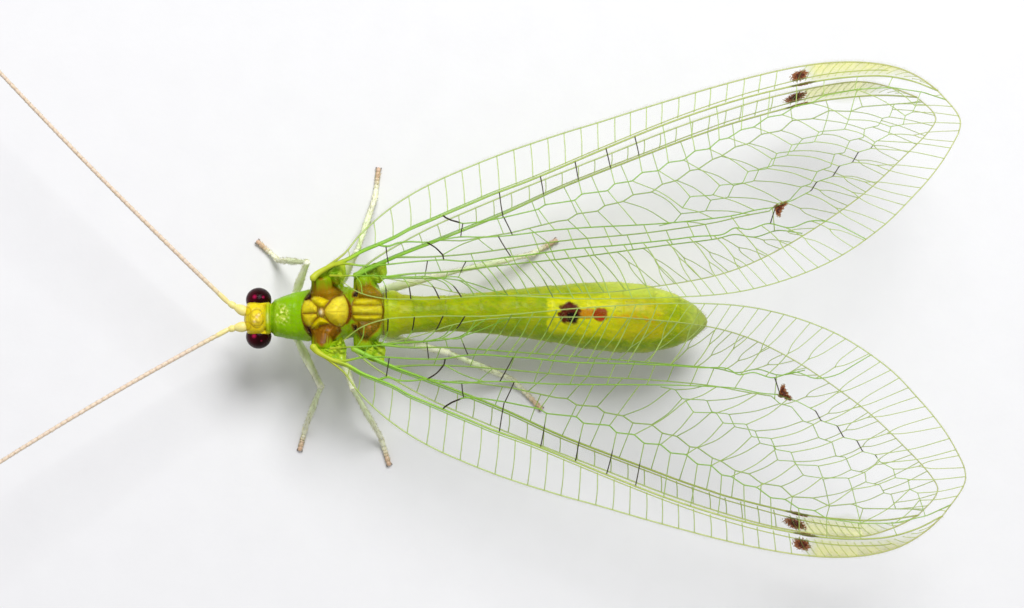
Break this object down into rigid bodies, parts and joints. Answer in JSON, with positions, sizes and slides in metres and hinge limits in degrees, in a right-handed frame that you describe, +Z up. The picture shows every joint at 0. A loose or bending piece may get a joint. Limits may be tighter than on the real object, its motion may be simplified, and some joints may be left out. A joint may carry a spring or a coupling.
{
  "type": "green lacewing model",
  "caption": "Life-size green lacewing standing on a flat plate, long net-veined wings held half open, slender legs and long feelers.",
  "frame": {"origin": "middle of the underside of the base plate", "axes": "+X from the head to the wing tips along the plate's long side, +Y to the insect's right, +Z up"},
  "size_m": [0.0438, 0.029, 0.0088],
  "materials": {
    "stand": "satin white",
    "head": "waxy cuticle",
    "eye": "dark maroon, glossy",
    "antenna": "finely haired",
    "prothorax": "waxy cuticle",
    "thorax": "waxy cuticle",
    "abdomen": "soft cuticle",
    "wing": "glassy membrane with raised green veins",
    "leg": "finely haired"
  },
  "bodies": {
    "root": {"stand_base": "stand", "head": "head", "eye_left": "eye", "eye_right": "eye", "antenna_left": "antenna", "antenna_right": "antenna", "prothorax": "prothorax", "mesothorax": "thorax", "metathorax": "thorax", "abdomen": "abdomen", "wing_fore_left": "wing", "wing_fore_right": "wing", "wing_hind_left": "wing", "wing_hind_right": "wing", "leg_front_left": "leg", "leg_front_right": "leg", "leg_middle_left": "leg", "leg_middle_right": "leg", "leg_hind_left": "leg", "leg_hind_right": "leg"}
  },
  "joints": []
}
